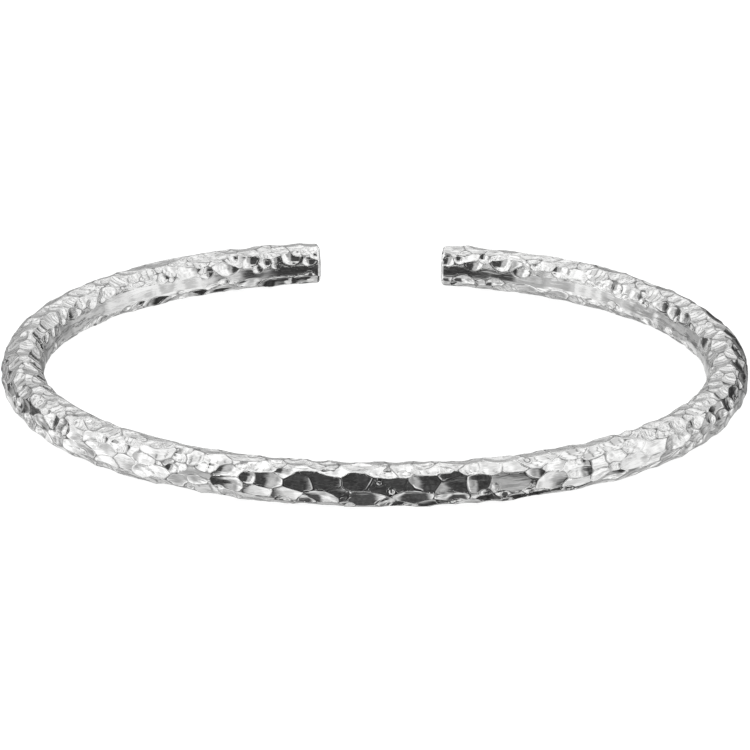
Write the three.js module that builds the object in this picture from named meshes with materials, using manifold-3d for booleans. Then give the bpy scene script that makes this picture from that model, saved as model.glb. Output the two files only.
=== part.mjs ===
// Open bangle: one solid silver rod, hammered on all but its inner side and bent into an oval cuff
// that lies flat. Millimetres, +Z up. +X runs across the wrist and -Y is the front, opposite the gap.
import * as THREE from "three";
import { mergeVertices } from "three/addons/utils/BufferGeometryUtils.js";
import Module from "manifold-3d";

// The cuff
const INNER_WIDTH = 60; // inside the oval, along X
const INNER_DEPTH = 50; // inside the oval, along Y
const OVAL_FULLNESS = 2.06; // the oval's exponent: 2 would be an ellipse, and more is squarer
const ROD_DIAMETER = 4; // over the ridges that the hammer leaves
const LEFT_END_X = -5.4; // where the rod's centreline is cut, left of the back's middle
const RIGHT_END_X = 6.4; // the same on the right: the gap was cut a little off centre
const END_ROUNDING = 0.35; // radius that softens the rim of each cut end
const REST_LAND = 0.06; // how deep the lowest ridges are worn flat where the cuff lies

// The hammering: a staggered lattice of blows, each a shallow cup with a jitter of its own
const BLOWS_AROUND = 8;
const BLOW_PITCH = 1.9; // along the rod
const BLOW_DEPTH = { least: 0.14, most: 0.26 }; // below the uncut rod
const HAMMER_RADIUS = { least: 3.5, most: 9 }; // of the hammer's crowned face
const BLOW_JITTER = 0.7; // share of a pitch that a blow may stray, end to end
const INNER_BLOW_FORCE = { least: 0.55, most: 1 }; // blows on the inner side are the weakest
const INNER_BLOW_COSINE = { full: -0.85, least: -0.98 }; // of the angles where they weaken

// The smooth side towards the wrist, which lay on the mandrel: a flatter band along the rod
const SMOOTH_ANGLE = THREE.MathUtils.degToRad(174); // of its middle, from the outer side upwards
const SMOOTH_SPREAD = THREE.MathUtils.degToRad(36); // to each side of its middle
const SMOOTH_DEPTH = 0.2; // below the uncut rod
const SMOOTH_RADIUS = 6; // how flat it is across

const ROD_RADIUS = ROD_DIAMETER / 2;
const HALF_COLUMNS = 2 * BLOWS_AROUND; // neighbouring rows are half a blow apart
const HALF_COLUMN_ANGLE = (2 * Math.PI) / HALF_COLUMNS;
const HASH_SIZE = 289;
const ROUNDING_STEPS = 3;
const SMOOTH_FACETS = 6; // across the smooth band
const CUT_CLEARANCE = 1; // how far a cutting tool reaches past the silver
const LEAST_DETAIL = 0.02; // slivers that a cut leaves, and that stand out by less, are merged

/** The rod's centreline, seen from above, from the left end round the front to the right end. */
class Centreline extends THREE.Curve {
  constructor() {
    super();
    this.halfWidth = INNER_WIDTH / 2 + ROD_RADIUS;
    this.halfDepth = INNER_DEPTH / 2 + ROD_RADIUS;
    this.start = this.backAngle(LEFT_END_X);
    this.end = this.backAngle(RIGHT_END_X) + 2 * Math.PI;
    this.arcLengthDivisions = 2000;
  }

  /** The direction, from the oval's middle, of its back at an X. */
  backAngle(x) {
    const share = 1 - Math.abs(x / this.halfWidth) ** OVAL_FULLNESS;
    return Math.atan2(this.halfDepth * share ** (1 / OVAL_FULLNESS), x);
  }

  getPoint(share, target = new THREE.Vector3()) {
    const angle = THREE.MathUtils.lerp(this.start, this.end, share);
    const x = Math.cos(angle);
    const y = Math.sin(angle);
    const reach =
      Math.abs(x / this.halfWidth) ** OVAL_FULLNESS + Math.abs(y / this.halfDepth) ** OVAL_FULLNESS;
    return target.set(x, y, 0).multiplyScalar(reach ** (-1 / OVAL_FULLNESS));
  }
}

const line = new Centreline();
const rodLength = line.getLength();
const rows = Math.round(rodLength / BLOW_PITCH);
const rowPitch = rodLength / rows;

/** A point on the rod: along it, round it from the outer side upwards, and out from its centre. */
function placeOnRod(along, angle, radius) {
  const inside = THREE.MathUtils.clamp(along, 0, rodLength);
  const tangent = line.getTangentAt(inside / rodLength);
  const outwards = new THREE.Vector3(tangent.y, -tangent.x, 0);
  return line
    .getPointAt(inside / rodLength)
    .addScaledVector(tangent, along - inside)
    .addScaledVector(outwards, radius * Math.cos(angle))
    .setZ(radius * Math.sin(angle));
}

const shuffle = (x) => ((34 * x + 1) * x) % HASH_SIZE;

/** A repeatable number from 0 to 1 for one blow. */
function chance(row, column, salt) {
  return shuffle(shuffle(shuffle(salt) + row) + column) / HASH_SIZE;
}

const between = (range, share) => range.least + (range.most - range.least) * share;

/** The blow in a row at a half column, where it struck and how deep and round its cup is. */
function blowAt(row, halfColumn) {
  const column = THREE.MathUtils.euclideanModulo(halfColumn, HALF_COLUMNS);
  const stray = (salt) => BLOW_JITTER * (chance(row, column, salt) - 0.5);
  const angle = (halfColumn + 2 * stray(2)) * HALF_COLUMN_ANGLE;
  const { full, least } = INNER_BLOW_COSINE;
  const force = between(INNER_BLOW_FORCE, THREE.MathUtils.smoothstep(Math.cos(angle), least, full));
  return {
    along: (row + 0.5 + stray(1)) * rowPitch,
    angle,
    depth: force * between(BLOW_DEPTH, chance(row, column, 3)),
    hammerCurve: 1 / between(HAMMER_RADIUS, chance(row, column, 4)),
  };
}

/** How far a blow sinks the rod's surface at a place. It is negative outside its cup. */
function sink(blow, along, angle) {
  const across = ROD_RADIUS * (angle - blow.angle);
  const lengthwise = along - blow.along;
  const acrossCurve = blow.hammerCurve + 1 / ROD_RADIUS;
  return blow.depth - (blow.hammerCurve * lengthwise ** 2 + acrossCurve * across ** 2) / 2;
}

/** The blows that meet at a ridge corner, which lies between two rows at a half column. */
function blowsMeeting(ring, halfColumn) {
  const aheadIsWhole = (ring + halfColumn) % 2 === 0;
  const wholeRow = aheadIsWhole ? ring : ring - 1;
  const splitRow = aheadIsWhole ? ring - 1 : ring;
  return [
    [wholeRow, halfColumn],
    [splitRow, halfColumn - 1],
    [splitRow, halfColumn + 1],
  ]
    .filter(([row]) => row >= 0 && row < rows)
    .map(([row, column]) => blowAt(row, column));
}

/** A corner of the ridges: amid its blows, or in the plane of the rod's end on the outermost rings. */
function ridgeCorner(ring, halfColumn) {
  const blows = blowsMeeting(ring, halfColumn);
  const mean = (key) => blows.reduce((sum, blow) => sum + blow[key], 0) / blows.length;
  const isEnd = ring === 0 || ring === rows;
  const along = isEnd ? ring * rowPitch : mean("along");
  const angle = isEnd ? halfColumn * HALF_COLUMN_ANGLE : mean("angle");
  const sunk = Math.max(0, ...blows.map((blow) => sink(blow, along, angle)));
  return { along, angle, radius: ROD_RADIUS - sunk };
}

/** The rings that round a cut end's rim, from the rod's side to its flat face. */
function rimRings(ring) {
  const inwards = ring === 0 ? 1 : -1;
  return Array.from({ length: ROUNDING_STEPS + 1 }, (_, step) => {
    const turn = ((step / ROUNDING_STEPS) * Math.PI) / 2;
    return Array.from({ length: HALF_COLUMNS }, (_, halfColumn) => {
      const corner = ridgeCorner(ring, halfColumn);
      return placeOnRod(
        corner.along + inwards * END_ROUNDING * (1 - Math.sin(turn)),
        corner.angle,
        corner.radius - END_ROUNDING * (1 - Math.cos(turn)),
      );
    });
  });
}

/** The whole hammered rod as one closed mesh: a fan of six facets for each blow, and two flat ends. */
function hammeredRod() {
  const vertices = [];
  const faces = [];
  const add = (point) => vertices.push(point) - 1;
  const wrap = (column) => THREE.MathUtils.euclideanModulo(column, HALF_COLUMNS);

  const leftRim = rimRings(0).map((ring) => ring.map(add));
  const rightRim = rimRings(rows).map((ring) => ring.map(add));
  const rings = Array.from({ length: rows + 1 }, (_, ring) => {
    if (ring === 0) return leftRim[0];
    if (ring === rows) return rightRim[0];
    return Array.from({ length: HALF_COLUMNS }, (_, halfColumn) => {
      const { along, angle, radius } = ridgeCorner(ring, halfColumn);
      return add(placeOnRod(along, angle, radius));
    });
  });

  for (let row = 0; row < rows; row += 1) {
    for (let column = row % 2; column < HALF_COLUMNS; column += 2) {
      const blow = blowAt(row, column);
      const cup = add(placeOnRod(blow.along, blow.angle, ROD_RADIUS - blow.depth));
      const corners = [
        ...[-1, 0, 1].map((step) => rings[row + 1][wrap(column + step)]),
        ...[1, 0, -1].map((step) => rings[row][wrap(column + step)]),
      ];
      corners.forEach((corner, i) => faces.push(cup, corner, corners[(i + 1) % corners.length]));
    }
  }

  const closeEnd = (rim, endAlong, flipped) => {
    const face = (a, b, c) => (flipped ? faces.push(a, b, c) : faces.push(a, c, b));
    const hub = add(placeOnRod(endAlong, 0, 0));
    for (let column = 0; column < HALF_COLUMNS; column += 1) {
      const next = wrap(column + 1);
      for (let step = 0; step < ROUNDING_STEPS; step += 1) {
        face(rim[step][column], rim[step + 1][column], rim[step + 1][next]);
        face(rim[step][column], rim[step + 1][next], rim[step][next]);
      }
      face(rim[ROUNDING_STEPS][column], hub, rim[ROUNDING_STEPS][next]);
    }
  };
  closeEnd(leftRim, 0, false);
  closeEnd(rightRim, rodLength, true);

  return new THREE.BufferGeometry().setFromPoints(vertices).setIndex(faces);
}

const wasm = await Module();
wasm.setup();

/** A closed three.js mesh as a solid that can be cut. */
function solidFrom(geometry) {
  const bare = new THREE.BufferGeometry();
  bare.setAttribute("position", geometry.getAttribute("position"));
  bare.setIndex(geometry.getIndex());
  const merged = mergeVertices(bare, 1e-4);
  const mesh = new wasm.Mesh({
    numProp: 3,
    vertProperties: new Float32Array(merged.getAttribute("position").array),
    triVerts: new Uint32Array(merged.getIndex().array),
  });
  return new wasm.Manifold(mesh);
}

/** The reverse: a solid's vertices and triangles as a three.js geometry. */
function geometryFrom(solid) {
  const { vertProperties, triVerts } = solid.getMesh();
  const geometry = new THREE.BufferGeometry();
  geometry.setAttribute("position", new THREE.BufferAttribute(vertProperties, 3));
  geometry.setIndex(new THREE.BufferAttribute(triVerts, 1));
  return geometry;
}

/** Everything inwards of the smooth band, as a closed mesh that runs past both ends of the rod. */
function insideSmoothBand() {
  const bandCurve = 1 / ROD_RADIUS - 1 / SMOOTH_RADIUS;
  const section = Array.from({ length: SMOOTH_FACETS + 1 }, (_, i) => {
    const turn = THREE.MathUtils.lerp(-SMOOTH_SPREAD, SMOOTH_SPREAD, i / SMOOTH_FACETS);
    const risen = (bandCurve * (ROD_RADIUS * turn) ** 2) / 2;
    return { angle: SMOOTH_ANGLE + turn, radius: ROD_RADIUS - SMOOTH_DEPTH + risen };
  });
  const clear = ROD_RADIUS + CUT_CLEARANCE;
  section.push({ angle: SMOOTH_ANGLE + SMOOTH_SPREAD, radius: clear });
  section.push({ angle: SMOOTH_ANGLE - SMOOTH_SPREAD, radius: clear });

  const stations = [-CUT_CLEARANCE];
  for (let row = 0; row <= rows; row += 1) stations.push(row * rowPitch);
  stations.push(rodLength + CUT_CLEARANCE);
  const vertices = stations.flatMap((along) =>
    section.map(({ angle, radius }) => placeOnRod(along, angle, radius)),
  );

  const faces = [];
  const count = section.length;
  for (let ring = 0; ring < (stations.length - 1) * count; ring += count) {
    for (let i = 0; i < count; i += 1) {
      const next = (i + 1) % count;
      faces.push(ring + i, ring + next, ring + count + next);
      faces.push(ring + i, ring + count + next, ring + count + i);
    }
  }
  const lastRing = vertices.length - count;
  const outline = section.map(({ angle, radius }) => {
    return new THREE.Vector2(radius * Math.cos(angle), radius * Math.sin(angle));
  });
  for (const [a, b, c] of THREE.ShapeUtils.triangulateShape(outline, [])) {
    faces.push(a, b, c);
    faces.push(lastRing + a, lastRing + c, lastRing + b);
  }
  return new THREE.BufferGeometry().setFromPoints(vertices).setIndex(faces);
}

/** Everything below a height. */
function below(height) {
  const size = 2 * (INNER_WIDTH + ROD_DIAMETER);
  return new THREE.BoxGeometry(size, size, size).translate(0, 0, height - size / 2);
}

/** A closed mesh with others cut away from it, one after the other. */
function cut(geometry, tools) {
  const left = tools.reduce((solid, tool) => {
    return solid.asOriginal().simplify(LEAST_DETAIL).subtract(solidFrom(tool));
  }, solidFrom(geometry));
  return geometryFrom(left);
}

const silver = new THREE.MeshStandardMaterial({ color: 0xdedcd8, roughness: 0.12, metalness: 1 });

const restHeight = REST_LAND - ROD_RADIUS;
const worn = cut(hammeredRod(), [insideSmoothBand(), below(restHeight)]);
const rod = new THREE.Mesh(worn, silver);
rod.name = "hammered_rod";
rod.position.z = -restHeight;

const bangle = new THREE.Group();
bangle.add(rod);

export default bangle;
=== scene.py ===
"""Looks of an open cuff bangle, bent to an oval from one round rod of polished silver.

The rod is hammered all round but for the side towards the wrist.
"""

import logging
import math
from collections.abc import Callable
from dataclasses import dataclass
from enum import Enum
from typing import ClassVar

import bpy
from mathutils import Matrix, Vector


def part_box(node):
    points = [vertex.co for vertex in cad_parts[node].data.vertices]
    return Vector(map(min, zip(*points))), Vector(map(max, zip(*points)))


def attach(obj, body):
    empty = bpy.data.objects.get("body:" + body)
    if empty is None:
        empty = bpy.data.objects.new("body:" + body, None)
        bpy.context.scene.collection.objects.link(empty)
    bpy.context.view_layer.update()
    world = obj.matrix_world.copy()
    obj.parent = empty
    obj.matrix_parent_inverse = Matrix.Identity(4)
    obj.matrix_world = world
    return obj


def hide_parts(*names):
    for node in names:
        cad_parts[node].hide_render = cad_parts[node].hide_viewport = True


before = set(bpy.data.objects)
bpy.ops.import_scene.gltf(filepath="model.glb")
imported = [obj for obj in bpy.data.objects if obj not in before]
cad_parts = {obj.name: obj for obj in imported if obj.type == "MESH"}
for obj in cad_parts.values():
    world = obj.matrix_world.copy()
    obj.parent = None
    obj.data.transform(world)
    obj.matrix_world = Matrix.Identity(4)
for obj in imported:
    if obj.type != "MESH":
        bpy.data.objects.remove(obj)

LOG = logging.getLogger("bangle")
MM = 0.001
WHITE = (1.0, 1.0, 1.0, 1.0)
# the two whole numbers of the scramble that chances are drawn from
HASH_SIZE = 289
HASH_STEP = 34
# the depth at a place that no cup reaches, which any cup beats
NO_CUP = -MM
SOCKET_KINDS: dict[type, str] = {
    float: "NodeSocketFloat",
    int: "NodeSocketInt",
    bpy.types.Material: "NodeSocketMaterial",
}


class Value:
    """A number or vector that flows along a wire of a node tree, with ordinary arithmetic."""

    def __init__(self, wiring: "Wiring", socket: bpy.types.NodeSocket) -> None:
        """Keep the socket that the value comes out of, and the wiring that it belongs to."""
        self.wiring = wiring
        self.socket = socket

    def __add__(self, other: "Number") -> "Value":
        """Return the sum."""
        return self.wiring.math("ADD", self, other)

    def __sub__(self, other: "Number") -> "Value":
        """Return the difference."""
        return self.wiring.math("SUBTRACT", self, other)

    def __rsub__(self, other: "Number") -> "Value":
        """Return the difference from a plain number."""
        return self.wiring.math("SUBTRACT", other, self)

    def __mul__(self, other: "Number") -> "Value":
        """Return the product."""
        return self.wiring.math("MULTIPLY", self, other)

    def __truediv__(self, other: "Number") -> "Value":
        """Return the quotient."""
        return self.wiring.math("DIVIDE", self, other)

    def __rtruediv__(self, other: "Number") -> "Value":
        """Return a plain number divided by this."""
        return self.wiring.math("DIVIDE", other, self)

    def __pow__(self, other: "Number") -> "Value":
        """Return this to a power."""
        return self.wiring.math("POWER", self, other)

    def __mod__(self, other: "Number") -> "Value":
        """Return what is left over, which is never negative."""
        return self.wiring.math("FLOORED_MODULO", self, other)


Number = Value | float | int
Values = dict[str, Value]
Step = Callable[[Value, Values], Values]


class Wiring:
    """Adds nodes to one tree and joins them up."""

    def __init__(self, tree: bpy.types.NodeTree) -> None:
        """Work on a tree, which may hold nodes already."""
        self.tree = tree

    def add(self, kind: str, **settings: object) -> bpy.types.Node:
        """Add a node.

        Args:
            kind: The node's type.
            settings: Its properties, by name.

        Returns:
            The new node.
        """
        node = self.tree.nodes.new(kind)
        for name, setting in settings.items():
            setattr(node, name, setting)
        return node

    def feed(self, socket: bpy.types.NodeSocket, source: object) -> None:
        """Join a value or another socket to a socket, or set a plain number on it."""
        if isinstance(source, Value):
            source = source.socket
        if isinstance(source, bpy.types.NodeSocket):
            self.tree.links.new(source, socket)
        else:
            socket.default_value = source

    def call(self, kind: str, feeds: dict[str, object], output: str = "", **settings: object) -> Value:
        """Add a node, feed its named inputs and return one of its outputs.

        Args:
            kind: The node's type.
            feeds: What goes into the inputs, by the input's name.
            output: The output's name, or nothing for the first one.
            settings: The node's properties, by name.

        Returns:
            The output as a value.
        """
        node = self.add(kind, **settings)
        for name, source in feeds.items():
            self.feed(node.inputs[name], source)
        return Value(self, node.outputs[output] if output else node.outputs[0])

    def math(self, operation: str, *sources: Number) -> Value:
        """Return the result of a math node on up to three numbers."""
        node = self.add("ShaderNodeMath", operation=operation)
        for socket, source in zip(node.inputs, sources):
            self.feed(socket, source)
        return Value(self, node.outputs[0])

    def choose(self, flag: Number, yes: Number, no: Number) -> Value:
        """Return one number where a flag is above zero and another elsewhere."""
        feeds = {"Switch": flag, "True": yes, "False": no}
        return self.call("GeometryNodeSwitch", feeds, input_type="FLOAT")

    def pick(self, index: Value, choices: list[float]) -> Value:
        """Return the number that stands at an index in a list."""
        node = self.add("GeometryNodeIndexSwitch", data_type="FLOAT")
        while len(node.index_switch_items) < len(choices):
            node.index_switch_items.new()
        self.feed(node.inputs["Index"], index)
        for place, choice in enumerate(choices):
            self.feed(node.inputs[place + 1], choice)
        return Value(self, node.outputs[0])

    def clamp(self, value: Number, least: Number, most: Number) -> Value:
        """Return a number kept between two others."""
        return self.math("MINIMUM", self.math("MAXIMUM", value, least), most)

    def vector(self, x: Number, y: Number, z: Number) -> Value:
        """Return a vector of three numbers."""
        return self.call("ShaderNodeCombineXYZ", {"X": x, "Y": y, "Z": z})

    def parts(self, vector: Value) -> tuple[Value, Value, Value]:
        """Return the three numbers of a vector."""
        node = self.add("ShaderNodeSeparateXYZ")
        self.feed(node.inputs[0], vector)
        return tuple(Value(self, socket) for socket in node.outputs)

    def ramp(self, value: Number, start: float, end: float, first: float, last: float) -> Value:
        """Return a smooth step from one number to another as a value goes from a start to an end."""
        feeds = {"Value": value, "From Min": start, "From Max": end, "To Min": first, "To Max": last}
        return self.call("ShaderNodeMapRange", feeds, "Result", interpolation_type="SMOOTHSTEP")

    def noise(self, place: Value, scale: float, detail: float) -> Value:
        """Return a cloudy pattern from 0 to 1, at a scale and with so many layers of finer detail."""
        return self.call("ShaderNodeTexNoise", {"Vector": place, "Scale": scale, "Detail": detail})

    def move(self, geometry: Value, place: Value) -> Value:
        """Return geometry with its points moved to new places."""
        return self.call("GeometryNodeSetPosition", {"Geometry": geometry, "Position": place})

    def repeat(self, times: int, state: dict[str, Number], step: Step) -> Values:
        """Run a step over and over on some numbers.

        Args:
            times: How many times to run it.
            state: The numbers at the start, by name.
            step: Takes the turn, from 0, and the numbers so far, and gives the numbers after it.

        Returns:
            The numbers after the last turn.
        """
        entry = self.add("GeometryNodeRepeatInput")
        leave = self.add("GeometryNodeRepeatOutput")
        entry.pair_with_output(leave)
        leave.repeat_items.clear()
        for name in state:
            leave.repeat_items.new("FLOAT", name)
        entry.inputs["Iterations"].default_value = times
        for name, source in state.items():
            self.feed(entry.inputs[name], source)
        inside = {name: Value(self, entry.outputs[name]) for name in state}
        for name, source in step(Value(self, entry.outputs["Iteration"]), inside).items():
            self.feed(leave.inputs[name], source)
        return {name: Value(self, leave.outputs[name]) for name in state}


@dataclass(frozen=True)
class Spread:
    """Two limits that something varies between, such as a hammer's size from blow to blow."""

    least: float
    most: float

    def at(self, share: Value) -> Value:
        """Return what lies at a share, from 0 to 1, of the way between the limits."""
        return share * (self.most - self.least) + self.least

    def carry(self, value: Value, onto: "Spread") -> Value:
        """Return a number that goes smoothly through another spread as a value goes through this one."""
        return value.wiring.ramp(value, self.least, self.most, onto.least, onto.most)


@dataclass(frozen=True)
class Blows:
    """One pass of the hammer over the rod: a staggered lattice of cups, strayed and sized by chance.

    Lengths are in metres. Hammer is the radius of the tool's crowned face, and depth is how far below
    the uncut rod the middle of a cup lies. Salt makes each pass's chances its own. Presence is the share
    of the lattice that is struck, and stray how far a blow may land off it, as a share of the pitch.

    Mandrel side is where round the rod, as the cosine of the angle, the mandrel gets in the hammer's
    way, and force is the share of its depth that a blow keeps there and clear of it. Reach is how many
    rows, and how many blows in a row, can reach one place. Draws is how many chances a blow takes.
    """

    mandrel_side: ClassVar[Spread] = Spread(-0.98, -0.85)
    force: ClassVar[Spread] = Spread(0.55, 1.0)
    reach: ClassVar[int] = 3
    draws: ClassVar[int] = 5

    pitch: float
    around: int
    hammer: Spread
    depth: Spread
    salt: int
    presence: float
    stray: float

    def chance(self, wiring: Wiring, row: Value, column: Value, draw: int) -> Value:
        """Return a repeatable number from 0 to 1.

        Args:
            wiring: Not used; the number is worked out in the tree that the row comes from.
            row: The blow's row along the rod.
            column: Its half column round the rod.
            draw: Which of the blow's numbers is wanted.

        Returns:
            The number.
        """

        def shuffle(value: Number) -> Number:
            """Return the next number in a fixed scramble of whole numbers."""
            return (value * HASH_STEP + 1) * value % HASH_SIZE

        return shuffle(shuffle(row + shuffle(self.salt + draw)) + column) / HASH_SIZE

    def strike(
        self,
        wiring: Wiring,
        along: Value,
        angle: Value,
        radius: Value,
        length: Value,
        state: dict[str, Number],
    ) -> Values:
        """Sink the surface by whichever of the nearby blows reaches deepest.

        Args:
            wiring: The tree that this is worked out in.
            along: A place's distance along the rod.
            angle: Its angle round the rod.
            radius: The rod's radius.
            length: The rod's length.
            state: The deepest and the second deepest cup so far, and how each slopes there.

        Returns:
            The same after this pass.
        """
        half_columns = 2 * self.around
        half_angle = math.tau / half_columns
        rows = wiring.math("ROUND", length / self.pitch)
        row_pitch = length / rows
        home_row = wiring.math("FLOOR", along / row_pitch)

        def step(turn: Value, now: Values) -> Values:
            """Weigh up one of the blows that can reach the place."""
            row = home_row + wiring.math("FLOOR", turn / self.reach) - 1
            parity = row % 2
            home_column = wiring.math("ROUND", (angle / half_angle - parity) / 2) * 2 + parity
            column = home_column + (turn % self.reach - 1) * 2
            wrapped = column % half_columns
            off_row, off_column, depth_share, hammer_share, luck = (
                self.chance(wiring, row, wrapped, draw) for draw in range(self.draws)
            )
            middle_along = (row + 0.5 + (off_row - 0.5) * self.stray) * row_pitch
            middle_angle = (column + (off_column - 0.5) * (2 * self.stray)) * half_angle
            force = self.mandrel_side.carry(wiring.math("COSINE", middle_angle), self.force)
            sunk, slope_along, slope_across = self.cup(
                self.depth.at(depth_share) * force,
                self.hammer.at(hammer_share),
                radius,
                along - middle_along,
                (angle - middle_angle) * radius,
            )
            on_rod = wiring.math("GREATER_THAN", rows - row, 0.5)
            struck = wiring.math("LESS_THAN", luck, self.presence) * on_rod
            return self.rank(wiring, now, wiring.choose(struck, sunk, NO_CUP), slope_along, slope_across)

        return wiring.repeat(self.reach**2, state, step)

    @staticmethod
    def cup(
        depth: Value, hammer: Value, radius: Value, off_along: Value, off_across: Value
    ) -> tuple[Value, Value, Value]:
        """Work out one cup at a place.

        Args:
            depth: How deep the cup's middle is.
            hammer: The radius of the hammer's face.
            radius: The rod's radius.
            off_along: How far the place is from the cup's middle along the rod.
            off_across: How far it is from there round the rod.

        Returns:
            How deep the cup is at the place, and how fast it deepens along the rod and round it.
        """
        curve_along = 1 / hammer
        curve_across = curve_along + 1 / radius
        rise = (curve_along * off_along**2 + curve_across * off_across**2) / 2
        return depth - rise, curve_along * off_along * -1, curve_across * off_across * -1

    @staticmethod
    def rank(
        wiring: Wiring, now: Values, sunk: Value, slope_along: Number, slope_across: Number
    ) -> Values:
        """Place a cup among the two deepest so far.

        Args:
            wiring: The tree that this is worked out in.
            now: The two deepest so far.
            sunk: How deep this cup is here.
            slope_along: How fast it deepens along the rod.
            slope_across: How fast it deepens round the rod.

        Returns:
            The two deepest with this cup counted.
        """
        wins = wiring.math("GREATER_THAN", sunk, now["first"])
        places = wiring.math("GREATER_THAN", sunk, now["second"])
        fresh = {"": sunk, "_along": slope_along, "_across": slope_across}
        ranked = {}
        for suffix, value in fresh.items():
            first, second = now["first" + suffix], now["second" + suffix]
            ranked["first" + suffix] = wiring.choose(wins, value, first)
            ranked["second" + suffix] = wiring.choose(wins, first, wiring.choose(places, value, second))
        return ranked


@dataclass(frozen=True)
class StrayBlow:
    """One blow that stands out from the rest.

    Along is how far from the left end it struck, in millimetres, and angle how far round the rod from
    the outer side upwards, in degrees. Hammer is the radius of its tool and depth that of its cup, in
    millimetres.
    """

    along: float
    angle: float
    hammer: float
    depth: float

    @staticmethod
    def strike(
        wiring: Wiring,
        along: Value,
        angle: Value,
        radius: Value,
        blows: tuple["StrayBlow", ...],
        state: Values,
    ) -> Values:
        """Sink the surface by stray blows where they reach deepest.

        Args:
            wiring: The tree that this is worked out in.
            along: A place's distance along the rod.
            angle: Its angle round the rod.
            radius: The rod's radius.
            blows: The stray blows.
            state: The two deepest cups so far, and how each slopes there.

        Returns:
            The same after these blows.
        """

        def step(turn: Value, now: Values) -> Values:
            """Weigh up one of the blows."""
            depth = wiring.pick(turn, [blow.depth * MM for blow in blows])
            hammer = wiring.pick(turn, [blow.hammer * MM for blow in blows])
            off_along = along - wiring.pick(turn, [blow.along * MM for blow in blows])
            turned = angle - wiring.pick(turn, [math.radians(blow.angle) for blow in blows])
            off_across = wiring.math("WRAP", turned, math.pi, -math.pi) * radius
            return Blows.rank(wiring, now, *Blows.cup(depth, hammer, radius, off_along, off_across))

        return wiring.repeat(len(blows), state, step)


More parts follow.
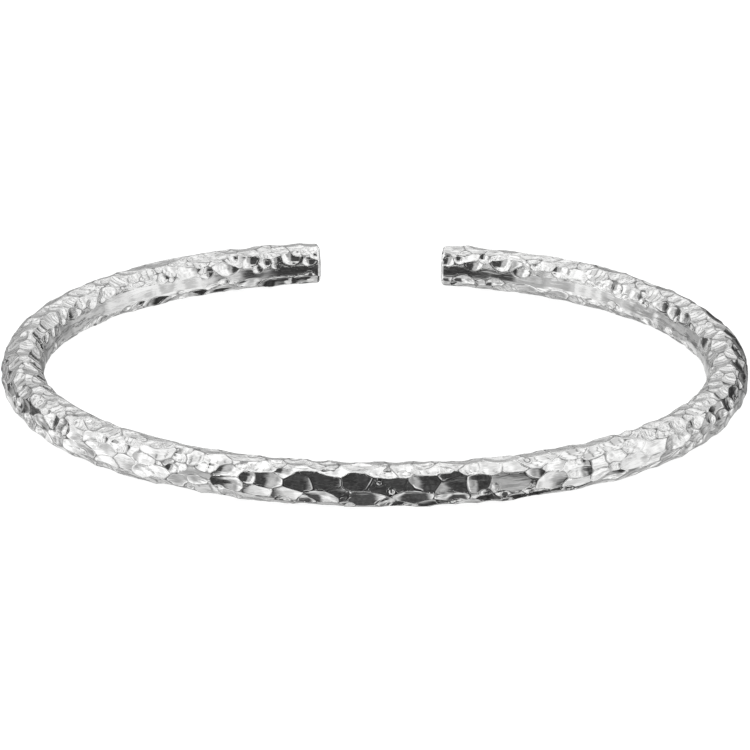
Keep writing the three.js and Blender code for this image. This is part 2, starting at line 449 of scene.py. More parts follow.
@dataclass(frozen=True)
class PolishedSilver:
    """Bright polished sterling silver, with its ridges rounded and a thin line of painted shade along
    them.

    The rod's mesh tells the finish how far each place is from a ridge, how steep that ridge is, and where
    the place would lie on a straight rod. Widths named in millimetres are measured from a ridge.
    """

    ridge_distance: ClassVar[str] = "ridge_distance_mm"
    ridge_steepness: ClassVar[str] = "ridge_steepness"
    grain: ClassVar[str] = "straightened_place"
    silver_input: ClassVar[int] = 6
    painted_shade_input: ClassVar[int] = 7
    mixed_output: ClassVar[int] = 2

    slot: str = "polished_silver"
    colour: tuple[float, float, float] = (0.93, 0.93, 0.925)
    roughness: Spread = Spread(0.03, 0.08)
    haze_size: float = 2.2 * MM
    haze_detail: float = 3.0
    patch_size: float = 1.2 * MM
    patch_detail: float = 1.0
    # painted shade: the dark colour laid along the ridges, standing in for the shade and dark reflections
    # of their steep walls
    ridge_painted_shade: tuple[float, float, float] = (0.16, 0.16, 0.16)
    painted_shade_width_mm: float = 0.09
    painted_shade_patches: Spread = Spread(0.43, 0.6)
    painted_shade_share: Spread = Spread(0.06, 0.85)
    rounding_mm: float = 0.12
    lip_width_mm: float = 0.18
    lip_height: float = 0.012 * MM
    lip_patches: Spread = Spread(0.42, 0.6)
    lip_share: Spread = Spread(0.5, 1.6)
    streak_size: float = 0.5 * MM
    streak_height: float = 0.028 * MM
    speckle_size: float = 0.22 * MM
    speckle_height: float = 0.0011 * MM
    mark_detail: float = 2.0

    def make(self) -> bpy.types.Material:
        """Build the material."""
        material = bpy.data.materials.new(self.slot)
        material.use_nodes = True
        material.node_tree.nodes.clear()
        wiring = Wiring(material.node_tree)
        place = wiring.call("ShaderNodeTexCoord", {}, "Object")
        distance = wiring.call("ShaderNodeAttribute", {}, "Fac", attribute_name=self.ridge_distance)
        patches = wiring.noise(place, 1 / self.patch_size, self.patch_detail)
        haze = wiring.noise(place, 1 / self.haze_size, self.haze_detail)
        shader = wiring.add("ShaderNodeBsdfPrincipled")
        shader.inputs["Metallic"].default_value = 1.0
        wiring.feed(shader.inputs["Base Color"], self.shaded_along_ridges(wiring, distance, patches))
        wiring.feed(shader.inputs["Roughness"], self.roughness.at(haze))
        wiring.feed(shader.inputs["Normal"], self.relief(wiring, place, distance, patches))
        output = wiring.add("ShaderNodeOutputMaterial")
        wiring.feed(output.inputs["Surface"], shader.outputs["BSDF"])
        return material

    def shaded_along_ridges(self, wiring: Wiring, distance: Value, patches: Value) -> bpy.types.NodeSocket:
        """Colour the silver, with a thin line of painted shade along the ridges that comes and goes.

        Args:
            wiring: The material's tree.
            distance: How far a place is from a ridge, in millimetres.
            patches: A cloudy pattern that says where the line shows.

        Returns:
            The socket that the colour comes out of.
        """
        # painted shade: darken the silver within a thin band either side of each ridge, in patches
        line = wiring.ramp(distance, 0.0, self.painted_shade_width_mm, 1.0, 0.0)
        mix = wiring.add("ShaderNodeMix", data_type="RGBA")
        wiring.feed(mix.inputs["Factor"], line * self.painted_shade_patches.carry(patches, self.painted_shade_share))
        mix.inputs[self.silver_input].default_value = (*self.colour, 1.0)
        mix.inputs[self.painted_shade_input].default_value = (*self.ridge_painted_shade, 1.0)
        return mix.outputs[self.mixed_output]

    def relief(self, wiring: Wiring, place: Value, distance: Value, patches: Value) -> Value:
        """Round the ridges off, and add a faint lip along them, streaks and speckles.

        Args:
            wiring: The material's tree.
            place: Where a place is.
            distance: How far it is from a ridge, in millimetres.
            patches: A cloudy pattern that says where the lip is higher.

        Returns:
            The bent normal.
        """
        steepness = wiring.call("ShaderNodeAttribute", {}, "Fac", attribute_name=self.ridge_steepness)
        straightened = wiring.call("ShaderNodeAttribute", {}, "Vector", attribute_name=self.grain)
        near = wiring.clamp(distance, 0.0, self.rounding_mm)
        rounding = (near - near**2 / (2 * self.rounding_mm) - self.rounding_mm / 2) * steepness * MM
        lip_height = wiring.ramp(distance, 0.0, self.lip_width_mm, self.lip_height, 0.0)
        lip = lip_height * self.lip_patches.carry(patches, self.lip_share)
        streaks = wiring.noise(straightened, 1 / self.streak_size, self.mark_detail) * self.streak_height
        speckles = wiring.noise(place, 1 / self.speckle_size, self.mark_detail) * self.speckle_height
        height = rounding + lip + streaks + speckles
        return wiring.call("ShaderNodeBump", {"Height": height, "Distance": 1.0, "Strength": 1.0})


@dataclass
class HammeredRod:
    """The whole cuff: a round rod bent to an open oval and hammered, with two flat ends.

    The hammering is worked out on a flat grid, unrolled from the rod, and the grid is then rolled up
    round the oval's line. The side towards the wrist lay on the mandrel, so it is smooth and a little
    flattened. Lengths are in metres and angles in radians.
    """

    node: str = "hammered_rod"
    half_width: float = 32 * MM
    half_depth: float = 27 * MM
    fullness: float = 2.06
    left_end_x: float = -5.4 * MM
    right_end_x: float = 6.4 * MM
    radius: float = 2 * MM
    end_rounding: float = 0.35 * MM
    rest_land: float = 0.06 * MM
    inner_angle: float = math.radians(174)
    inner_depth: float = 0.2 * MM
    inner_radius: float = 6 * MM
    inner_swell: float = 0.2 * MM
    swell_length: float = 14 * MM
    steps_along: int = 1160
    steps_around: int = 84
    line_points: int = 1500
    ridge_pull: float = 0.09 * MM
    ridge_angle: float = math.radians(11)
    least_slope: float = 1e-4
    skin_tolerance: float = 1e-7
    merge_distance: float = 0.004 * MM
    streak_squeeze: float = 0.22
    rim_fade: float = 5.0

    # pitch, around, hammer, depth, salt, presence, stray
    passes: tuple[Blows, ...] = (
        Blows(1.9 * MM, 8, Spread(3.5 * MM, 9 * MM), Spread(0.14 * MM, 0.26 * MM), 1, 1.0, 0.7),
        Blows(2.7 * MM, 6, Spread(1.8 * MM, 3.2 * MM), Spread(0.22 * MM, 0.32 * MM), 21, 0.4, 0.8),
        Blows(1.7 * MM, 8, Spread(0.8 * MM, 1.8 * MM), Spread(0.15 * MM, 0.23 * MM), 41, 0.32, 0.9),
    )

    # along, angle, hammer, depth
    strays: tuple[StrayBlow, ...] = (
        # the left end
        StrayBlow(0.6, 137, 1.1, 0.28),
        StrayBlow(1.1, 155, 1.5, 0.33),
        StrayBlow(2.3, 127, 0.8, 0.21),
        StrayBlow(2.9, 146, 2.8, 0.28),
        StrayBlow(1.2, 196, 1.4, 0.30),
        StrayBlow(1.6, 215, 5.0, 0.38),
        StrayBlow(4.2, 216, 6.0, 0.38),
        StrayBlow(4.5, 161, 1.3, 0.31),
        StrayBlow(5.6, 151, 1.1, 0.33),
        StrayBlow(6.4, 164, 0.9, 0.31),
        StrayBlow(7.3, 145, 2.8, 0.27),
        StrayBlow(8.7, 131, 0.9, 0.25),
        StrayBlow(9.5, 155, 3.6, 0.30),
        StrayBlow(10.1, 224, 5.0, 0.36),
        StrayBlow(11.9, 161, 1.9, 0.31),
        StrayBlow(14.2, 232, 5.0, 0.37),
        StrayBlow(16.8, 146, 1.6, 0.29),
        # the left side
        StrayBlow(26.5, 150, 1.4, 0.30),
        StrayBlow(32.0, 148, 1.0, 0.28),
        StrayBlow(35.0, 150, 1.4, 0.29),
        StrayBlow(49.8, 6, 1.4, 0.30),
        StrayBlow(51.4, 16, 1.2, 0.29),
        StrayBlow(53.3, -6, 1.8, 0.31),
        StrayBlow(56.8, 32, 2.0, 0.32),
        StrayBlow(57.7, -6, 2.2, 0.31),
        StrayBlow(58.8, 28, 0.8, 0.26),
        # the front
        StrayBlow(75.4, 33, 3.6, 0.36),
        StrayBlow(75.7, 3, 3.6, 0.35),
        StrayBlow(77.3, 20, 1.5, 0.37),
        StrayBlow(78.9, 19, 4.0, 0.37),
        StrayBlow(81.9, 18, 6.0, 0.33),
        StrayBlow(83.8, 22, 8.5, 0.34),
        StrayBlow(83.4, -19, 5.0, 0.33),
        StrayBlow(86.5, 24, 7.0, 0.33),
        StrayBlow(87.3, -17, 7.0, 0.33),
        StrayBlow(88.4, 24, 0.5, 0.36),
        StrayBlow(88.9, 17, 9.0, 0.34),
        StrayBlow(89.4, 4, 0.4, 0.35),
        StrayBlow(91.1, -16, 6.0, 0.33),
        StrayBlow(92.5, 24, 6.0, 0.33),
        StrayBlow(94.4, -20, 4.0, 0.32),
        StrayBlow(94.6, 16, 8.0, 0.34),
        StrayBlow(96.6, 17, 3.6, 0.37),
        StrayBlow(98.7, -22, 1.2, 0.29),
        StrayBlow(99.5, 12, 14.0, 0.31),
        StrayBlow(101.1, -22, 0.8, 0.27),
        StrayBlow(105.6, 10, 2.6, 0.28),
        # the right side
        StrayBlow(115.8, 14, 2.6, 0.33),
        StrayBlow(117.0, 54, 2.0, 0.31),
        StrayBlow(119.1, 38, 1.8, 0.33),
        StrayBlow(121.3, 26, 1.6, 0.30),
        StrayBlow(122.2, 70, 0.7, 0.26),
        StrayBlow(125.1, 30, 1.6, 0.30),
        StrayBlow(128.7, 34, 1.4, 0.30),
        StrayBlow(146.4, 150, 1.0, 0.28),
        # the right end
        StrayBlow(155.5, 146, 1.4, 0.29),
        StrayBlow(157.3, 148, 0.9, 0.26),
        StrayBlow(162.4, 140, 2.4, 0.27),
        StrayBlow(165.1, 134, 0.9, 0.26),
        StrayBlow(166.7, 160, 3.4, 0.29),
        StrayBlow(168.6, 147, 2.6, 0.31),
        StrayBlow(169.3, 205, 2.6, 0.32),
        StrayBlow(170.7, 134, 0.8, 0.25),
        StrayBlow(171.6, 157, 2.4, 0.31),
        StrayBlow(172.6, 203, 2.6, 0.32),
        StrayBlow(173.0, 143, 1.0, 0.28),
        StrayBlow(174.3, 152, 1.5, 0.31),
    )

    def build(self, finish: PolishedSilver) -> bpy.types.Object:
        """Make the rod as a plain mesh.

        Args:
            finish: What the rod is finished in.

        Returns:
            The rod, placed in its mesh.
        """
        given = self.inputs(finish)
        tree = self.tree(given)
        host = bpy.data.objects.new("rod_host", bpy.data.meshes.new("rod_host"))
        bpy.context.scene.collection.objects.link(host)
        modifier = host.modifiers.new("hammered rod", "NODES")
        modifier.node_group = tree
        for item in tree.interface.items_tree:
            if item.item_type == "SOCKET" and item.name in given:
                modifier[item.identifier] = given[item.name]
        bpy.context.view_layer.update()
        evaluated = host.evaluated_get(bpy.context.evaluated_depsgraph_get())
        mesh = bpy.data.meshes.new_from_object(evaluated)
        host.modifiers.remove(modifier)
        bpy.data.objects.remove(host)
        mesh.name = "silver_rod"
        rod = bpy.data.objects.new("silver_rod", mesh)
        bpy.context.scene.collection.objects.link(rod)
        return rod

    def inputs(self, finish: PolishedSilver) -> dict[str, float | int | bpy.types.Material]:
        """Return what goes into each of the tree's named inputs."""
        return {
            "Half Width": self.half_width,
            "Half Depth": self.half_depth,
            "Fullness": self.fullness,
            "Start Angle": self.end_angle(self.left_end_x),
            "End Angle": self.end_angle(self.right_end_x) + math.tau,
            "Rod Radius": self.radius,
            "End Rounding": self.end_rounding,
            "Rest Land": self.rest_land,
            "Inner Angle": self.inner_angle,
            "Inner Depth": self.inner_depth,
            "Inner Radius": self.inner_radius,
            "Inner Swell": self.inner_swell,
            "Steps Along": self.steps_along,
            "Steps Around": self.steps_around,
            "Ridge Pull": self.ridge_pull,
            "Ridge Angle": self.ridge_angle,
            "Material": finish.make(),
        }

    def end_angle(self, x: float) -> float:
        """Return the direction, seen from the oval's middle, of the back's centreline at an X."""
        y = self.half_depth * (1 - abs(x / self.half_width) ** self.fullness) ** (1 / self.fullness)
        return math.atan2(y, x)

    def tree(self, inputs: dict[str, float | int | bpy.types.Material]) -> bpy.types.GeometryNodeTree:
        """Build the tree that sweeps and hammers the rod.

        Args:
            inputs: The tree's inputs by name. Each gets a socket of its own kind.

        Returns:
            The tree.
        """
        tree = bpy.data.node_groups.new("hammered rod", "GeometryNodeTree")
        for name, value in inputs.items():
            tree.interface.new_socket(name, in_out="INPUT", socket_type=SOCKET_KINDS[type(value)])
        tree.interface.new_socket("Geometry", in_out="OUTPUT", socket_type="NodeSocketGeometry")
        wiring = Wiring(tree)
        entry = wiring.add("NodeGroupInput")
        given = {name: Value(wiring, entry.outputs[name]) for name in inputs}

        line = self.centreline(wiring, given)
        length = wiring.call("GeometryNodeCurveLength", {"Curve": line})
        grid = self.grid(wiring, given, length)
        cups = self.strikes(wiring, given, length)
        grid = self.marked(wiring, given, grid, cups)
        grid, sunk = self.capture(wiring, grid, self.sunk(wiring, given, cups))
        place = self.rolled(wiring, given, line, length, sunk)
        rolled = wiring.move(self.split(wiring, grid, sunk), place)
        creased = self.creased(wiring, given, rolled)
        real = wiring.call("GeometryNodeRealizeInstances", {"Geometry": creased})
        dressed = wiring.call("GeometryNodeSetMaterial", {"Geometry": real, "Material": given["Material"]})
        leave = wiring.add("NodeGroupOutput")
        wiring.feed(leave.inputs["Geometry"], dressed)
        return tree

    def here(self, wiring: Wiring) -> tuple[Value, Value, Value]:
        """Return where a place is, which on the unrolled grid is its distance along, angle and radius."""
        return wiring.parts(wiring.call("GeometryNodeInputPosition", {}))

    def centreline(self, wiring: Wiring, given: Values) -> Value:
        """Return the rod's centreline as a curve, from the left end round the front to the right end."""
        line = wiring.call("GeometryNodeCurvePrimitiveLine", {})
        line = wiring.call("GeometryNodeResampleCurve", {"Curve": line, "Count": self.line_points})
        share = wiring.call("GeometryNodeInputIndex", {}) / (self.line_points - 1)
        angle = given["Start Angle"] + (given["End Angle"] - given["Start Angle"]) * share
        cosine = wiring.math("COSINE", angle)
        sine = wiring.math("SINE", angle)
        x_share = wiring.math("ABSOLUTE", cosine / given["Half Width"]) ** given["Fullness"]
        y_share = wiring.math("ABSOLUTE", sine / given["Half Depth"]) ** given["Fullness"]
        distance = (x_share + y_share) ** (-1 / given["Fullness"])
        return wiring.move(line, wiring.vector(cosine * distance, sine * distance, 0))

    def grid(self, wiring: Wiring, given: Values, length: Value) -> Value:
        """Return the unrolled grid, with its corners pulled onto the ridges."""
        feeds = {
            "Size X": 1.0,
            "Size Y": 1.0,
            "Vertices X": given["Steps Along"] + 1,
            "Vertices Y": given["Steps Around"] + 1,
        }
        square = wiring.call("GeometryNodeMeshGrid", feeds)
        unrolled = wiring.move(square, self.unrolled(wiring, given, length))
        return wiring.move(unrolled, self.pulled(wiring, given, length))

    def unrolled(self, wiring: Wiring, given: Values, length: Value) -> Value:
        """Lay the grid out flat, with X the distance along the rod, Y the angle and Z the uncut radius.

        Each end's flat face and rounded rim take the grid's first and last few rows.
        """
        x, y, _ = self.here(wiring)
        rounding = given["End Rounding"]
        face = given["Rod Radius"] - rounding
        quarter = rounding * (math.pi / 2)
        skin = face * 2 + quarter * 2 + length - rounding * 2
        walked = (x + 0.5) * skin
        back = wiring.math("GREATER_THAN", x, 0.0)
        from_end = wiring.math("MINIMUM", walked, skin - walked)
        turn = wiring.clamp((from_end - face) / rounding, 0.0, math.pi / 2)
        straight = wiring.math("MAXIMUM", from_end - face - quarter, 0.0)
        inwards = rounding * (1 - wiring.math("COSINE", turn)) + straight
        radius = wiring.math("MINIMUM", from_end, face) + rounding * wiring.math("SINE", turn)
        along = wiring.choose(back, length - inwards, inwards)
        return wiring.vector(along, (y + 0.5) * math.tau, radius)

    def strikes(self, wiring: Wiring, given: Values, length: Value) -> Values:
        """Return the two deepest cups at each place of the unrolled grid, and how each slopes there.

        The uncut skin counts as a cup of no depth, and the side towards the wrist as one long
        shallow cup.
        """
        along, angle, _ = self.here(wiring)
        radius = given["Rod Radius"]
        state: dict[str, Number] = {
            "first": 0.0,
            "first_along": 0.0,
            "first_across": 0.0,
            "second": NO_CUP,
            "second_along": 0.0,
            "second_across": 0.0,
        }
        for blows in self.passes:
            state = blows.strike(wiring, along, angle, radius, length, state)
        feeds = {"W": along / self.swell_length, "Detail": 0.0}
        swell = wiring.call("ShaderNodeTexNoise", feeds, noise_dimensions="1D") - 0.5
        off_across = (angle - given["Inner Angle"]) * radius
        curve = 1 / radius - 1 / given["Inner Radius"]
        inner = given["Inner Depth"] + given["Inner Swell"] * swell - curve * off_across**2 / 2
        state = Blows.rank(wiring, state, inner, 0.0, curve * off_across * -1)
        return StrayBlow.strike(wiring, along, angle, radius, self.strays, state)

    def marked(self, wiring: Wiring, given: Values, grid: Value, cups: Values) -> Value:
        """Store what the finish reads on the grid: each place's ridge, and its place on a straight rod.

        Args:
            wiring: The tree that this is worked out in.
            given: The tree's inputs.
            grid: The unrolled grid.
            cups: The two deepest cups at each place.

        Returns:
            The grid with its attributes.
        """
        distance = (self.ridge_distance(wiring, cups) + self.past_rim(wiring, given)) / MM
        steepness = wiring.math("SQRT", self.ridge_slope(wiring, cups)) / 2
        marks = {
            PolishedSilver.ridge_distance: ("FLOAT", distance),
            PolishedSilver.ridge_steepness: ("FLOAT", steepness),
            PolishedSilver.grain: ("FLOAT_VECTOR", self.straightened(wiring)),
        }
        for name, (kind, value) in marks.items():
            feeds = {"Geometry": grid, "Name": name, "Value": value}
            grid = wiring.call("GeometryNodeStoreNamedAttribute", feeds, data_type=kind, domain="POINT")
        return grid

    def straightened(self, wiring: Wiring) -> Value:
        """Return each place as on a straight rod, squeezed along it so that patterns come out streaky."""
        along, angle, radius = self.here(wiring)
        across, up = radius * wiring.math("COSINE", angle), radius * wiring.math("SINE", angle)
        return wiring.vector(along * self.streak_squeeze, across, up)

    def ridge_distance(self, wiring: Wiring, cups: Values) -> Value:
        """Return how far a place is from the ridge between its two deepest cups."""
        return (cups["first"] - cups["second"]) / wiring.math("SQRT", self.ridge_slope(wiring, cups))

    def past_rim(self, wiring: Wiring, given: Values) -> Value:
        """Return nothing on the hammered skin, and a distance that grows fast inwards from a rim."""
        _, _, radius = self.here(wiring)
        return (given["Rod Radius"] - radius) * self.rim_fade

    def ridge_slope(self, wiring: Wiring, cups: Values) -> Value:
        """Return the square of how steeply the second deepest cup gains on the deepest."""
        slope_along = cups["second_along"] - cups["first_along"]
        slope_across = cups["second_across"] - cups["first_across"]
        return wiring.math("MAXIMUM", slope_along**2 + slope_across**2, self.least_slope)

    def pulled(self, wiring: Wiring, given: Values, length: Value) -> Value:
        """Move the grid's corners that lie near a ridge onto it, so that the ridge is crisp."""
        cups = self.strikes(wiring, given, length)
        along, angle, radius = self.here(wiring)
        near = wiring.math("LESS_THAN", self.ridge_distance(wiring, cups), given["Ridge Pull"])
        on_skin = wiring.math("GREATER_THAN", radius, given["Rod Radius"] - self.skin_tolerance)
        step = (cups["first"] - cups["second"]) / self.ridge_slope(wiring, cups) * near * on_skin
        moved_along = along + (cups["second_along"] - cups["first_along"]) * step
        moved_across = (cups["second_across"] - cups["first_across"]) * step
        rounding = given["End Rounding"]
        kept_along = wiring.choose(on_skin, wiring.clamp(moved_along, rounding, length - rounding), along)
        return wiring.vector(kept_along, angle + moved_across / given["Rod Radius"], radius)

    def sunk(self, wiring: Wiring, given: Values, cups: Values) -> Value:
        """Return how far the hammer has sunk each place, which is less towards the middle of an end."""
        _, _, radius = self.here(wiring)
        return cups["first"] * radius / given["Rod Radius"]

    def capture(self, wiring: Wiring, geometry: Value, value: Value) -> tuple[Value, Value]:
        """Keep a value with the grid's points, so that it is worked out once."""
        node = wiring.add("GeometryNodeCaptureAttribute")
        node.capture_items.new("FLOAT", "Kept")
        wiring.feed(node.inputs[0], geometry)
        wiring.feed(node.inputs["Kept"], value)
        return Value(wiring, node.outputs[0]), Value(wiring, node.outputs["Kept"])

    def split(self, wiring: Wiring, geometry: Value, sunk: Value) -> Value:
        """Split each square of the grid along the prouder diagonal, which is the one on a ridge."""
        corners = []
        for corner in range(4):
            index = wiring.call("GeometryNodeCornersOfFace", {"Sort Index": corner}, "Corner Index")
            vertex = wiring.call("GeometryNodeVertexOfCorner", {"Corner Index": index}, "Vertex Index")
            feeds = {"Index": vertex, "Value": sunk}
            height = wiring.call("GeometryNodeFieldAtIndex", feeds, domain="POINT", data_type="FLOAT")
            corners.append(height)
        first_is_proud = wiring.math("LESS_THAN", corners[0] + corners[2], corners[1] + corners[3])
        feeds = {"Mesh": geometry, "Selection": first_is_proud}
        once = wiring.call("GeometryNodeTriangulate", feeds, quad_method="FIXED")
        return wiring.call("GeometryNodeTriangulate", {"Mesh": once}, quad_method="FIXED_ALTERNATE")

    def rolled(self, wiring: Wiring, given: Values, line: Value, length: Value, sunk: Value) -> Value:
        """Roll the flat grid round the centreline, and wear its lowest ridges flat where the cuff lies.

        Args:
            wiring: The tree that this is worked out in.
            given: The tree's inputs.
            line: The rod's centreline.
            length: How long that is.
            sunk: How far the hammer has sunk each place.

        Returns:
            Each place on the cuff.
        """
        along, angle, radius = self.here(wiring)
        sample = wiring.add("GeometryNodeSampleCurve", mode="FACTOR")
        wiring.feed(sample.inputs["Curves"], line)
        wiring.feed(sample.inputs["Factor"], along / length)
        x, y, _ = wiring.parts(Value(wiring, sample.outputs["Position"]))
        tangent_x, tangent_y, _ = wiring.parts(Value(wiring, sample.outputs["Tangent"]))
        hammered = radius - sunk
        outwards = hammered * wiring.math("COSINE", angle)
        rest_height = given["Rod Radius"] - given["Rest Land"]
        height = wiring.math("MAXIMUM", hammered * wiring.math("SINE", angle) + rest_height, 0.0)
        return wiring.vector(x + tangent_y * outwards, y - tangent_x * outwards, height)

    def creased(self, wiring: Wiring, given: Values, geometry: Value) -> Value:
        """Close the skin along its seam and at its ends, and shade it smooth but for the sharp ridges."""
        feeds = {"Geometry": geometry, "Distance": self.merge_distance}
        closed = wiring.call("GeometryNodeMergeByDistance", feeds)
        feeds = {"Geometry": closed, "Shade Smooth": True}
        smooth = wiring.call("GeometryNodeSetShadeSmooth", feeds, domain="FACE")
        fold = wiring.call("GeometryNodeInputMeshEdgeAngle", {}, "Unsigned Angle")
        sharp = wiring.math("GREATER_THAN", fold, given["Ridge Angle"])
        feeds = {"Geometry": smooth, "Selection": sharp, "Shade Smooth": False}
        return wiring.call("GeometryNodeSetShadeSmooth", feeds, domain="EDGE")


class CardEdge(Enum):
    """How wide a studio card's edge looks in the silver, in degrees."""

    CRISP = 4.0
    SOFT = 12.0
    FADED = 24.0


@dataclass(frozen=True)
class StudioCard:
    """A card or scrim that the silver reflects. Angles are in degrees, seen from the cuff.

    Azimuth 0 is towards the camera's side and grows to the right. Tone is how bright the card is.
    """

    azimuth: float
    elevation: float
    half_width: float
    half_height: float
    tone: float
    edge: CardEdge

    def over(self, wiring: Wiring, azimuth: Value, elevation: Value, behind: Number) -> Value:
        """Hang the card in front of what is there already.

        Args:
            wiring: The world's node tree.
            azimuth: The direction looked in, in degrees.
            elevation: Its height, in degrees.
            behind: The brightness behind the card.

        Returns:
            The brightness with the card.
        """
        turned = wiring.math("ABSOLUTE", wiring.math("WRAP", azimuth - self.azimuth, 180.0, -180.0))
        raised = wiring.math("ABSOLUTE", elevation - self.elevation)
        mask = self.fade(wiring, turned, self.half_width) * self.fade(wiring, raised, self.half_height)
        return behind * (1 - mask) + mask * self.tone

    def fade(self, wiring: Wiring, distance: Value, half_size: float) -> Value:
        """Return 1 within half a size and 0 beyond it, with the card's own edge between them."""
        half_edge = self.edge.value / 2
        return wiring.ramp(distance, half_size - half_edge, half_size + half_edge, 1.0, 0.0)


@dataclass
class Studio:
    """A white light tent with bright and dark cards, a pale floor and a long-lens camera.

    Angles and the widths and spacing of the slats are in degrees.
    """

    distance: float = 560 * MM
    elevation: float = 22.0
    roll: float = 0.39
    lens: float = 295.3
    aim_drop: float = 0.615 * MM
    nearest: float = 10 * MM
    floor_size: float = 4.0
    floor_colour: tuple[float, float, float, float] = (0.4, 0.4, 0.4, 1.0)
    floor_glow: float = 0.88
    tent_tone: Spread = Spread(0.5, 0.95)
    fold_scale: float = 2.4
    fold_detail: float = 2.0
    fold_patches: Spread = Spread(0.4, 0.6)
    slat_spacing: float = 9.0
    slat_width: float = 1.6
    slat_tone: float = 0.35
    slat_reach: Spread = Spread(65.0, 95.0)
    slat_share: float = 0.25
    shade: Spread = Spread(0.76, 1.16)
    shade_scale: float = 4.5
    shade_detail: float = 3.0
    shade_patches: Spread = Spread(0.38, 0.6)
    glimmer: Spread = Spread(0.0, 0.045)
    glimmer_scale: float = 16.0
    glimmer_patches: Spread = Spread(0.4, 0.7)

    # azimuth, elevation, half width, half height, tone, edge; each card hangs in front of those before it
    cards: tuple[StudioCard, ...] = (
        # bright: overhead, and to the left and right of the camera
        StudioCard(0, 90, 180, 30, 1.0, CardEdge.FADED),
        StudioCard(-62, 10, 26, 55, 1.15, CardEdge.FADED),
        StudioCard(66, 10, 24, 55, 0.95, CardEdge.FADED),
        # behind the cuff: bright above and grey below, with dark flags on both sides
        StudioCard(180, 42, 85, 18, 0.88, CardEdge.SOFT),
        StudioCard(180, -4, 70, 20, 0.48, CardEdge.SOFT),
        StudioCard(146, -6, 25, 17, 0.025, CardEdge.SOFT),
        StudioCard(125, -16, 40, 7, 0.5, CardEdge.FADED),
        StudioCard(60, -14, 36, 10, 0.72, CardEdge.FADED),
        StudioCard(-60, -14, 36, 10, 0.75, CardEdge.FADED),
        StudioCard(-92, -15, 9, 6, 0.38, CardEdge.FADED),
        StudioCard(-122, 5, 14, 13, 0.08, CardEdge.SOFT),
        # upright greys on both sides of the camera
        StudioCard(-40, 12, 13, 40, 0.5, CardEdge.SOFT),
        StudioCard(36, 6, 8, 30, 0.4, CardEdge.SOFT),
        # under the cuff: greys, two dark ones to the right and two bright ones to the left
        StudioCard(-34, -44, 18, 14, 0.95, CardEdge.SOFT),
        StudioCard(0, -90, 180, 24, 0.6, CardEdge.SOFT),
        StudioCard(180, -36, 18, 8, 0.4, CardEdge.SOFT),
        StudioCard(180, -60, 18, 8, 0.4, CardEdge.SOFT),
        StudioCard(108, -68, 36, 12, 0.03, CardEdge.SOFT),
        StudioCard(110, -86, 80, 12, 0.03, CardEdge.SOFT),
        StudioCard(-40, -80, 70, 6, 0.7, CardEdge.SOFT),
        # round the camera: a thin dark bar above, and dark cards from there to the floor
        StudioCard(4, 64, 26, 4, 0.05, CardEdge.CRISP),
        StudioCard(0, -14, 48, 9, 0.6, CardEdge.SOFT),
        StudioCard(0, -12, 40, 7, 0.08, CardEdge.SOFT),
        StudioCard(0, -12, 30, 11, 0.03, CardEdge.SOFT),
        StudioCard(0, 26, 27, 28, 0.045, CardEdge.SOFT),
        StudioCard(6, -48, 24, 22, 0.065, CardEdge.SOFT),
        StudioCard(0, -14, 14, 14, 0.04, CardEdge.SOFT),
    )

    def build(self, middle: Vector) -> None:
        """Set up the camera, the floor and the light.

        Args:
            middle: The middle of the cuff.
        """
        self.camera(middle)
        self.floor()
        self.tent()
        bpy.context.scene.view_settings.view_transform = "Standard"

    def camera(self, middle: Vector) -> None:
        """Stand the camera in front of the cuff and a little above it."""
        data = bpy.data.cameras.new("camera")
        data.lens = self.lens
        data.clip_start = self.nearest
        camera = bpy.data.objects.new("camera", data)
        bpy.context.scene.collection.objects.link(camera)
        tilt = math.radians(90 - self.elevation)
        turn = Matrix.Rotation(tilt, 4, "X") @ Matrix.Rotation(math.radians(self.roll), 4, "Z")
        offset = turn @ Vector((0, -self.aim_drop, self.distance))
        camera.matrix_world = Matrix.Translation(middle + offset) @ turn
        bpy.context.scene.camera = camera

    def floor(self) -> bpy.types.Object:
        """Lay the pale floor, which the silver itself doesn't reflect."""
        half = self.floor_size / 2
        mesh = bpy.data.meshes.new("floor")
        corners = [(-half, -half, 0), (half, -half, 0), (half, half, 0), (-half, half, 0)]
        mesh.from_pydata(corners, [], [range(len(corners))])
        material = bpy.data.materials.new("pale_floor")
        material.use_nodes = True
        shader = material.node_tree.nodes["Principled BSDF"]
        shader.inputs["Base Color"].default_value = self.floor_colour
        shader.inputs["Roughness"].default_value = 1.0
        shader.inputs["Specular IOR Level"].default_value = 0.0
        shader.inputs["Emission Color"].default_value = WHITE
        shader.inputs["Emission Strength"].default_value = self.floor_glow
        mesh.materials.append(material)
        floor = bpy.data.objects.new("floor", mesh)
        floor.visible_glossy = False
        bpy.context.scene.collection.objects.link(floor)
        return floor

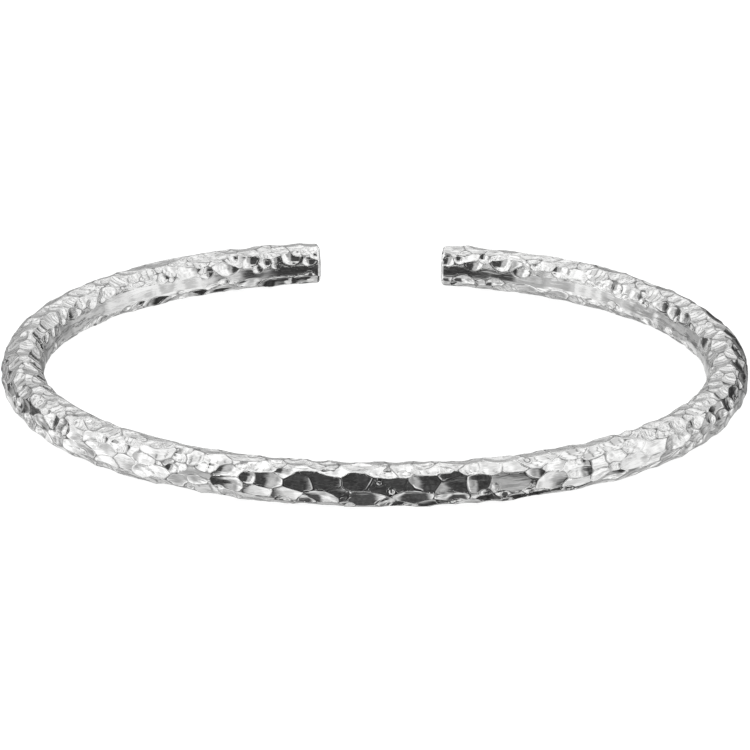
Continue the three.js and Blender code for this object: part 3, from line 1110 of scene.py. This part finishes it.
    def tent(self) -> None:
        """Hang the white tent and its cards all round."""
        world = bpy.data.worlds.new("light_tent")
        bpy.context.scene.world = world
        world.use_nodes = True
        world.node_tree.nodes.clear()
        wiring = Wiring(world.node_tree)
        direction = wiring.call("ShaderNodeTexCoord", {}, "Generated")
        x, y, z = wiring.parts(direction)
        azimuth = wiring.math("DEGREES", wiring.math("ARCTAN2", x, y * -1))
        elevation = wiring.math("DEGREES", wiring.math("ARCSINE", z))
        folds = wiring.noise(direction, self.fold_scale, self.fold_detail)
        tone: Number = self.fold_patches.carry(folds, self.tent_tone)
        for card in self.cards:
            tone = card.over(wiring, azimuth, elevation, tone)
        shades = wiring.noise(direction, self.shade_scale, self.shade_detail)
        glimmer = wiring.noise(direction, self.glimmer_scale, self.shade_detail)
        tone = tone * (1 - self.slats(wiring, azimuth, elevation, folds))
        tone = tone * self.shade_patches.carry(shades, self.shade)
        tone = tone + self.glimmer_patches.carry(glimmer, self.glimmer)
        background = wiring.add("ShaderNodeBackground")
        wiring.feed(background.inputs["Strength"], tone)
        background.inputs["Color"].default_value = WHITE
        output = wiring.add("ShaderNodeOutputWorld")
        wiring.feed(output.inputs["Surface"], background.outputs[0])

    def slats(self, wiring: Wiring, azimuth: Value, elevation: Value, folds: Value) -> Value:
        """Rib the tent with thin level slats, which show most at the back.

        Args:
            wiring: The world's node tree.
            azimuth: The direction looked in, in degrees.
            elevation: Its height, in degrees.
            folds: The cloth's folds, which bend the slats a little.

        Returns:
            The share of the light that they take away.
        """
        level = elevation + (folds - 0.5) * self.slat_spacing
        from_slat = wiring.math("PINGPONG", level, self.slat_spacing / 2)
        from_back = 180.0 - wiring.math("ABSOLUTE", azimuth)
        near, far = self.slat_reach.least, self.slat_reach.most
        strength = wiring.ramp(from_back, near, far, 1.0, self.slat_share)
        return wiring.ramp(from_slat, 0.0, self.slat_width, 1 - self.slat_tone, 0.0) * strength


def main() -> None:
    """Build the cuff and its studio, and report each piece."""
    logging.basicConfig(level=logging.INFO, format="%(name)s: %(message)s")
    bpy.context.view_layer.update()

    rod = HammeredRod()
    finish = PolishedSilver()
    piece = rod.build(finish)
    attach(piece, "root")
    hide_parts(rod.node)
    LOG.info("%s: %d faces, in %s", piece.name, len(piece.data.polygons), finish.slot)

    low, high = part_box(rod.node)
    Studio().build(Vector((0, 0, rod.radius - rod.rest_land)))
    LOG.info("studio round a cuff %.1f mm high", (high.z - low.z) / MM)


if __name__ == "__main__":
    main()
